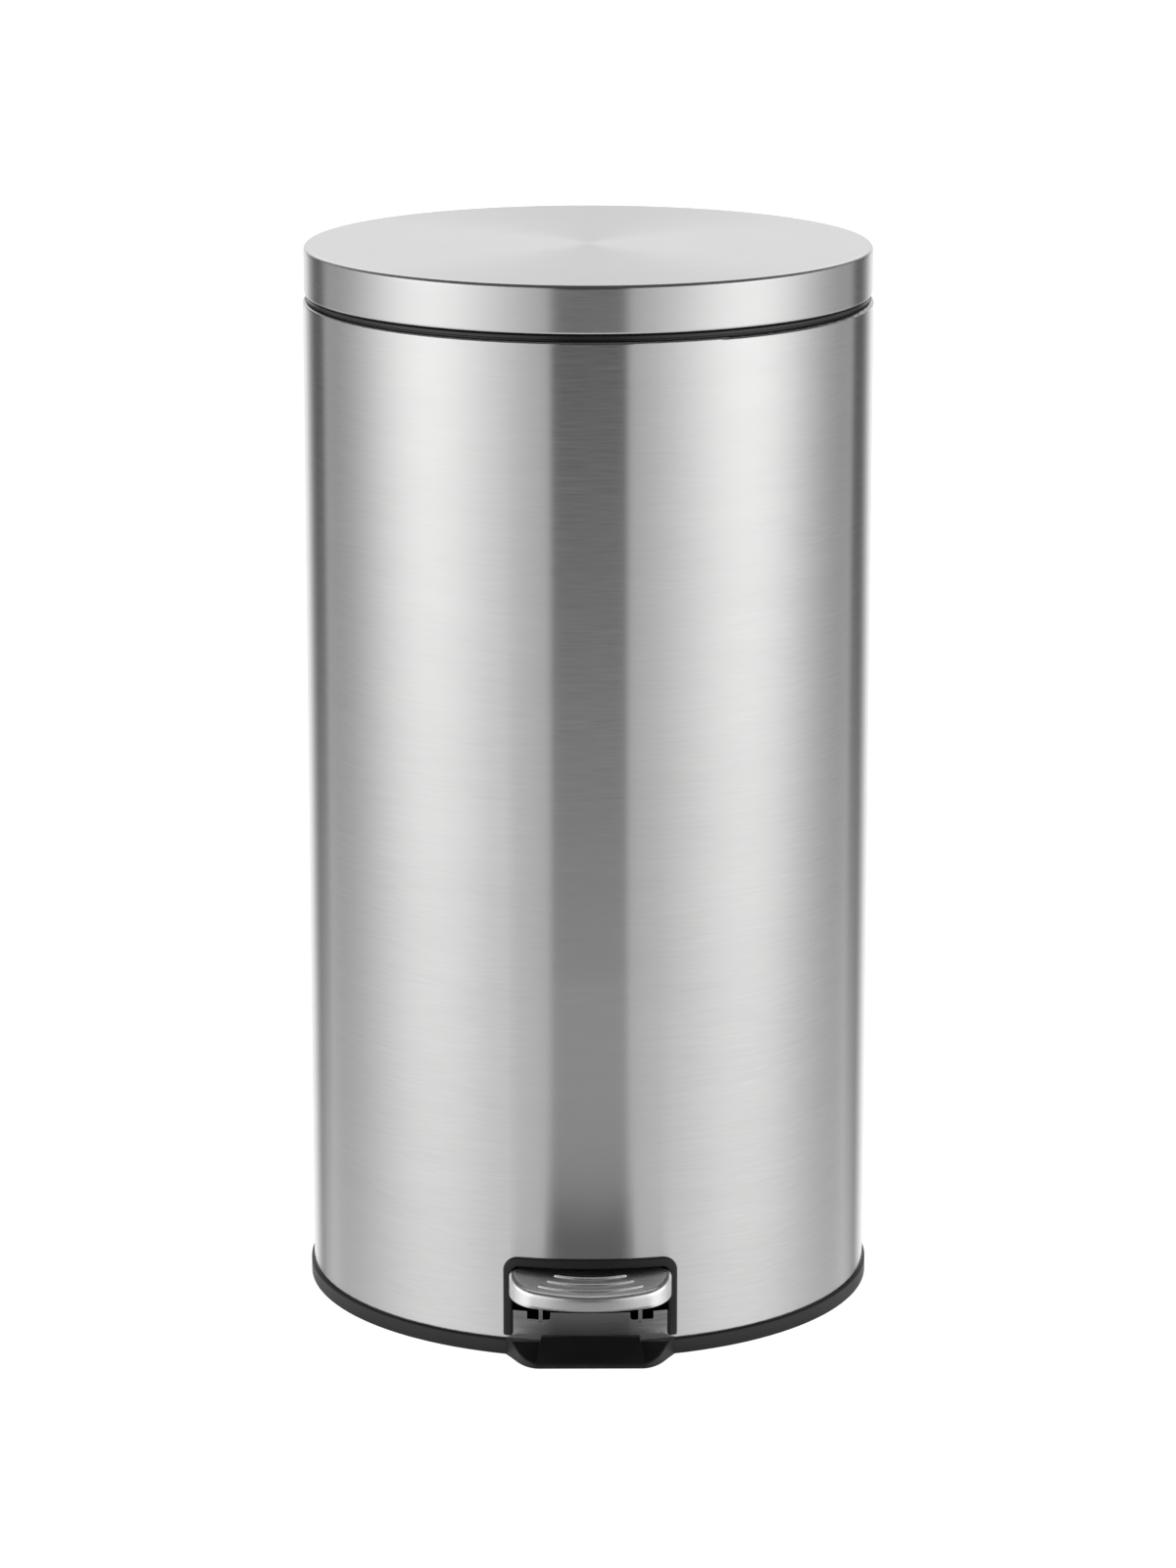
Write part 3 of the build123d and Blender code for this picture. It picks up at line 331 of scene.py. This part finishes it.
# lid: pressed top, small shoulder, skirt with a turned edge, notch at the back for the hinge
def lid_mesh():
    top, rad, notch = 549.0, 145.4, 537.5
    outer = [(r, top) for r in (6, 30, 60, 90, 118, 138, 142.4, 143.1)] + bow(143.4, 547.0, 2.0, 90, 0, 12)
    outer += [(rad, z) for z in (546.6, 543.0, 540.0, notch, 534.0, 530.0, 527.0, 526.3)]
    outer += bow(144.4, 526.0, 1.0, 0, -90, 8)
    inner = [(144.4, 525.8)] + bow(144.4, 526.0, 0.2, -90, 0, 3) + [(144.6, z) for z in (530.0, notch, 543.0)]
    inner += bow(143.4, 547.0, 1.2, 0, 90, 6) + [(r, top - 0.8) for r in (120, 80, 40, 6)]
    prof = outer + inner
    low, high = outer.index((rad, notch)), len(outer) + inner.index((144.6, notch))
    edge = math.asin(33.0 / rad)
    angles = steps(-edge, edge, 52) + steps(edge, 2 * math.pi - edge, 668)[1:-1]
    m, n = len(prof), len(angles)
    verts = [(r * math.sin(a), r * math.cos(a), z) for a in angles for r, z in prof]
    verts += [(0, 0, top), (0, 0, top - 0.8)]
    faces = []
    for i in range(n):
        j = (i + 1) % n
        cut = i < 52
        for k in range(m - 1):
            if cut and low <= k < high:
                continue
            faces.append((i * m + k, j * m + k, j * m + k + 1, i * m + k + 1))
        if cut:
            faces.append((i * m + low, j * m + low, j * m + high, i * m + high))
        faces.append((i * m, j * m, n * m))
        faces.append((i * m + m - 1, j * m + m - 1, n * m + 1))
    for i in (0, 52):
        faces.append(tuple(i * m + k for k in range(low, high + 1)))
    return verts, faces


piece("lid_pressing", *lid_mesh(), STEEL_LID, "lid", SLOT_OF["lid_shell"], "lid_shell")


# tread: D-shaped pressing, rounded front edge, rolled lower edge and three raised beads
def tread_mesh():
    arc, corner, wide, side, thick, rnd = 94.98, 17.98, 41.28, -143.5, 1.2, 3.4
    mid = side + math.sqrt((arc - corner) ** 2 - (wide - corner) ** 2)
    front, rise = mid - arc, 0.35
    cx = wide - corner
    half = math.asin(cx / (arc - corner))
    tilt = math.sqrt(1 + rise * rise)

    def height(y):
        return 39.4 + rise * (y + 164.0)

    rim = []
    for a in steps(math.pi / 2, half, 60)[:-1]:
        rim.append((-cx - corner * math.sin(a), side - corner * math.cos(a), -math.sin(a), -math.cos(a)))
    for a in steps(half, -half, 160):
        rim.append((-arc * math.sin(a), mid - arc * math.cos(a), -math.sin(a), -math.cos(a)))
    for a in steps(half, math.pi / 2, 60)[1:]:
        rim.append((cx + corner * math.sin(a), side - corner * math.cos(a), math.sin(a), -math.cos(a)))

    columns = []
    for x, y, nx, ny in rim:
        g = rise * ny
        z_top = height(y)
        z_c = z_top - g * rnd - rnd * math.sqrt(1 + g * g)
        start = math.degrees(math.atan2(1, -g))
        sect = bow(-rnd, z_c, rnd, start, 0, 10)
        low = 31.05 + 0.13 * (y - front)
        back = max(0.0, y - (side - 2.2))
        low += 2.2 - math.sqrt(2.2 ** 2 - min(back, 2.19) ** 2)
        lip = thick / 2
        sect += [(0, z_c + (low + lip - z_c) * k / 5) for k in range(1, 5)]
        sect += bow(-lip, low + lip, lip, 0, -180, 8)
        under = height(y) - g * thick - thick * tilt
        sect += [(-thick, low + lip + (under - low - lip) * k / 3) for k in (1, 2, 3)]
        pts = [(x + nx * d, y + ny * d, z) for d, z in sect]
        fx, fy = pts[0][0], pts[0][1]
        rear = -141.0 if abs(fx) <= 36.0 else -143.0
        rows = [(fx, yy, height(yy)) for yy in steps(rear, fy, 12)[:-1]]
        ux, uy, uz = pts[-1]
        below = [(ux, uy + (rear - uy) * k / 3, uz + rise * (rear - uy) * k / 3) for k in (1, 2, 3)]
        columns.append(rows + pts + below)
    verts, faces = stitch(columns, False, True)
    m, n = len(columns[0]), len(columns)
    faces += [tuple(range(m)), tuple((n - 1) * m + k for k in range(m))]
    # beads: half-round in section with rounded ends, rooted in the plate
    plate = len(verts)
    for h, y_end, y_mid in ((17.5, -148.1, -150.45), (21.1, -152.3, -155.4), (25.7, -156.1, -160.15)):
        sag = (y_end - y_mid) * tilt
        r = (h * h + sag * sag) / (2 * sag)
        c, span, tail = y_mid * tilt + r, math.asin(h / r), 0.95 / r
        stations = [(-span - tail * math.sin(math.radians(q)), math.cos(math.radians(q))) for q in (88, 75, 60, 45, 30, 15)]
        stations += [(a, 1.0) for a in steps(-span, span, 150)]
        stations += [(-a, k) for a, k in stations[5::-1]]
        columns = []
        for a, k in stations:
            sect = [(0.95 * k * math.cos(math.radians(q)), 0.8 * k * math.sin(math.radians(q))) for q in steps(180, 0, 14)]
            sect += [(0.9 * k, -0.3), (-0.9 * k, -0.3)]
            col = []
            for d, up in sect:
                x, v = (r + d) * math.sin(a), c - (r + d) * math.cos(a)
                col.append((x, v / tilt - up * rise / tilt, height(v / tilt) + up / tilt))
            columns.append(col)
        more, quads = stitch(columns, False, True)
        m, n, base = len(columns[0]), len(columns), len(verts)
        quads += [tuple(range(m)), tuple((n - 1) * m + k for k in range(m))]
        verts += more
        faces += [tuple(base + k for k in f) for f in quads]
    return verts, faces, plate


TREAD_VERTS, TREAD_FACES, PLATE_END = tread_mesh()
piece(
    "tread_pressing", TREAD_VERTS, TREAD_FACES, STEEL_TREAD, "pedal", SLOT_OF["pedal_tread"], "pedal_tread",
    second=(STEEL_BEAD, PLATE_END),
)


# trim around the pedal opening: rounded strip lying on the body, with a lip through the cut edge
def trim_mesh():
    def path(w, top, foot, r):
        leg = [foot + d for d in (0.0, 0.1, 0.25, 0.45, 0.7, 0.95, 1.2)] + list(steps(foot + 2.0, top - r, 28))
        pts = [(-w, z) for z in leg]
        pts += bow(-w + r, top - r, r, 180, 90, 14)[1:]
        pts += [(x, top) for x in steps(-w + r, w - r, 80)[1:]]
        pts += bow(w - r, top - r, r, 90, 0, 14)[1:]
        pts += [(w, z) for z in reversed(leg[:-1])]
        return pts

    inner, outer = path(39.7, 48.0, 10.6, 3.6), path(44.2, 52.7, 10.6, 7.5)
    skin, proud, rnd = 146.03, 147.6, 1.0
    columns = []
    for (xi, zi), (xo, zo) in zip(inner, outer):
        wide = math.hypot(xo - xi, zo - zi)
        sect = [(0.0, 143.4 if zi > 24.1 else skin), (0.0, skin)]
        sect += [(rnd + rnd * math.cos(math.radians(a)), proud - rnd + rnd * math.sin(math.radians(a))) for a in steps(180, 90, 7)]
        sect += [(wide * k, proud) for k in (0.35, 0.5, 0.65)]
        sect += [(wide - rnd + rnd * math.cos(math.radians(a)), proud - rnd + rnd * math.sin(math.radians(a))) for a in steps(90, 0, 7)]
        sect += [(wide, skin), (wide * 0.5, skin), (0.7, skin), (0.7, 143.4 if zi > 24.1 else skin)]
        # the feet of the two legs are rounded off
        near = max(0.0, 1.2 - (zi - 10.6))
        tuck = 1.2 - math.sqrt(1.44 - near * near)
        col = []
        for d, r in sect:
            d = wide / 2 + (d - wide / 2) * (1 - 1.4 * tuck / wide)
            r = skin + (r - skin) * (1 - 0.5 * tuck) if r > skin else r
            x, z = xi + (xo - xi) * d / wide, zi + (zo - zi) * d / wide
            col.append((x, -math.sqrt(r * r - x * x), z))
        columns.append(col)
    verts, faces = stitch(columns, False, True)
    m, n = len(columns[0]), len(columns)
    faces += [tuple(range(m)), tuple((n - 1) * m + k for k in range(m))]
    return verts, faces


piece("pedal_trim", *trim_mesh(), BLACK, "can", SLOT_OF["pedal_bezel"], "pedal_bezel")

# ------------------------------------------------------------------ studio
# Two tall curved softboxes, left and right of the camera, a narrow one overhead, a white sweep behind and a white floor.
world = bpy.data.worlds.new("studio")
scene.world = world
world.use_nodes = True
t = Tree(world.node_tree)
out = t.node("ShaderNodeOutputWorld")
bg = t.node("ShaderNodeBackground")
white = t.node("ShaderNodeBackground")
pick = t.node("ShaderNodeMixShader")
path = t.node("ShaderNodeLightPath")
t.link(path.outputs["Is Camera Ray"], pick.inputs[0])
t.link(bg.outputs[0], pick.inputs[1])
t.link(white.outputs[0], pick.inputs[2])
t.link(pick.outputs[0], out.inputs[0])
white.inputs[0].default_value = grey(1.0)
white.inputs[1].default_value = 1.0
ray = t.node("ShaderNodeTexCoord").outputs["Generated"]
sep = t.node("ShaderNodeSeparateXYZ")
t.link(ray, sep.inputs[0])
rx, ry, rz = sep.outputs
azim = t.math("DEGREES", t.math("ARCTAN2", t.math("ABSOLUTE", rx), t.math("MULTIPLY", ry, -1.0)))
elev = t.math("DEGREES", t.math("ARCSINE", rz))


def bell(x, mid, left, right):
    """A bell with its own width on each side of the middle."""
    d = t.math("SUBTRACT", x, mid)
    w = t.math("ADD", left, t.math("MULTIPLY", t.math("GREATER_THAN", d, 0.0), right - left))
    d = t.math("DIVIDE", d, w)
    return t.math("POWER", math.e, t.math("MULTIPLY", t.math("MULTIPLY", d, d), -0.5))


GAP, FOLD, HOT, BACK, OVER = 0.0, 0.34, 1.07, 0.92, 0.08
lit = t.span(elev, -23.5, -4.0, 0.0, 1.46)
gap = t.math("ADD", t.span(elev, -24.0, -12.0, 0.98, 0.0), GAP)
panel_on = t.math("MULTIPLY", t.span(azim, 14.4, 15.8, 0, 1, True), t.span(azim, 131.0, 137.0, 1, 0, True))
panel = t.math("ADD", FOLD, t.math("MULTIPLY", t.math("MULTIPLY", bell(azim, 67.0, 27.8, 24.0), HOT), lit))
panel = t.math("MULTIPLY", panel, t.span(elev, 14.0, 26.0, 1, 0, True))
sweep = t.math("ADD", t.span(elev, -4.0, 4.0, 1.0, 0.77, True), t.span(elev, 10.0, 22.0, 0.0, 0.60, True))
sweep = t.math("MULTIPLY", sweep, t.span(elev, 34.0, 46.0, 1, 0, True))
back = t.math("MULTIPLY", t.math("MULTIPLY", t.span(azim, 143.0, 165.0, 0, 1, True), BACK), sweep)
gap = t.math("MULTIPLY", gap, t.math("SUBTRACT", 1.0, t.math("MULTIPLY", panel_on, 0.5)))
gap = t.math("MULTIPLY", gap, t.span(azim, 141.0, 150.0, 1.0, 0.2, True))
gap = t.math("ADD", gap, t.span(azim, 120.0, 140.0, 0.0, 0.13, True))
level = t.math("ADD", t.math("ADD", t.math("MULTIPLY", panel_on, panel), back), gap)
level = t.math("ADD", level, t.span(elev, 4.0, 14.0, 0.0, OVER, True))
t.link(level, bg.inputs[1])
bg.inputs[0].default_value = grey(1.0)

floor_mesh = bpy.data.meshes.new("floor")
S = 12.0
floor_mesh.from_pydata([(-S, -S, 0), (S, -S, 0), (S, S, 0), (-S, S, 0)], [], [(0, 1, 2, 3)])
floor = bpy.data.objects.new("floor", floor_mesh)
scene.collection.objects.link(floor)
floor.location.z = -0.0002
fm, t, p = material("floor_white")
p.inputs["Base Color"].default_value = grey(0.9)
p.inputs["Roughness"].default_value = 0.9
p.inputs["Emission Color"].default_value = grey(1.0)
p.inputs["Emission Strength"].default_value = 1.0
# seen from underneath the floor is clear, so the base can be looked at
back = t.node("ShaderNodeNewGeometry").outputs["Backfacing"]
clear = t.node("ShaderNodeBsdfTransparent")
both = t.node("ShaderNodeMixShader")
t.link(back, both.inputs[0])
t.link(p.outputs[0], both.inputs[1])
t.link(clear.outputs[0], both.inputs[2])
t.link(both.outputs[0], [n for n in t.tree.nodes if n.bl_idname == "ShaderNodeOutputMaterial"][0].inputs[0])
floor_mesh.materials.append(fm)
floor.visible_glossy = False

# cards only seen in the steel: dark and dimly glowing ones on the floor in front of the pedal are a painted
# reflection of the shade there, and a small strip light over it
def card(name, corners, height, glow, ramp=None):
    mesh = bpy.data.meshes.new(name)
    mesh.from_pydata([(x, y, 0.0) for x, y in corners], [], [(0, 1, 2, 3)])
    obj = bpy.data.objects.new(name, mesh)
    scene.collection.objects.link(obj)
    obj.location.z = height
    m, t, p = material(name)
    p.inputs["Base Color"].default_value = grey(0.0)
    p.inputs["Specular IOR Level"].default_value = 0.0
    p.inputs["Roughness"].default_value = 0.9
    p.inputs["Emission Color"].default_value = grey(1.0)
    p.inputs["Emission Strength"].default_value = glow
    if ramp:
        where = t.node("ShaderNodeSeparateXYZ")
        t.link(t.node("ShaderNodeNewGeometry").outputs["Position"], where.inputs[0])
        t.link(t.span(where.outputs[1], *ramp), p.inputs["Emission Strength"])
    # one-sided: clear from the other side
    side = t.node("ShaderNodeMixShader")
    t.link(t.node("ShaderNodeNewGeometry").outputs["Backfacing"], side.inputs[0])
    t.link(p.outputs[0], side.inputs[1])
    t.link(t.node("ShaderNodeBsdfTransparent").outputs[0], side.inputs[2])
    t.link(side.outputs[0], [n for n in t.tree.nodes if n.bl_idname == "ShaderNodeOutputMaterial"][0].inputs[0])
    mesh.materials.append(m)
    obj.visible_camera = False
    obj.visible_shadow = False
    obj.visible_diffuse = False


def square(near, far, w_near, w_far):
    return [(-w_far, far), (w_far, far), (w_near, near), (-w_near, near)]


# painted reflection of shade: dark, dimly glowing floor cards seen only in the steel
card("card_far", square(-0.275, -0.33, 0.066, 0.082), 0.0003, 0.09)
card("card_mid", square(-0.229, -0.275, 0.062, 0.066), 0.0003, 0.44)
card("card_near", square(-0.1662, -0.229, 0.059, 0.098), 0.0003, 0.10, (-0.229, -0.176, 0.17, 0.02, True))
card("card_over", list(reversed(square(-0.166, -0.206, 0.14, 0.14))), 0.20, 1.2, (-0.188, -0.166, 1.2, 0.0, True))
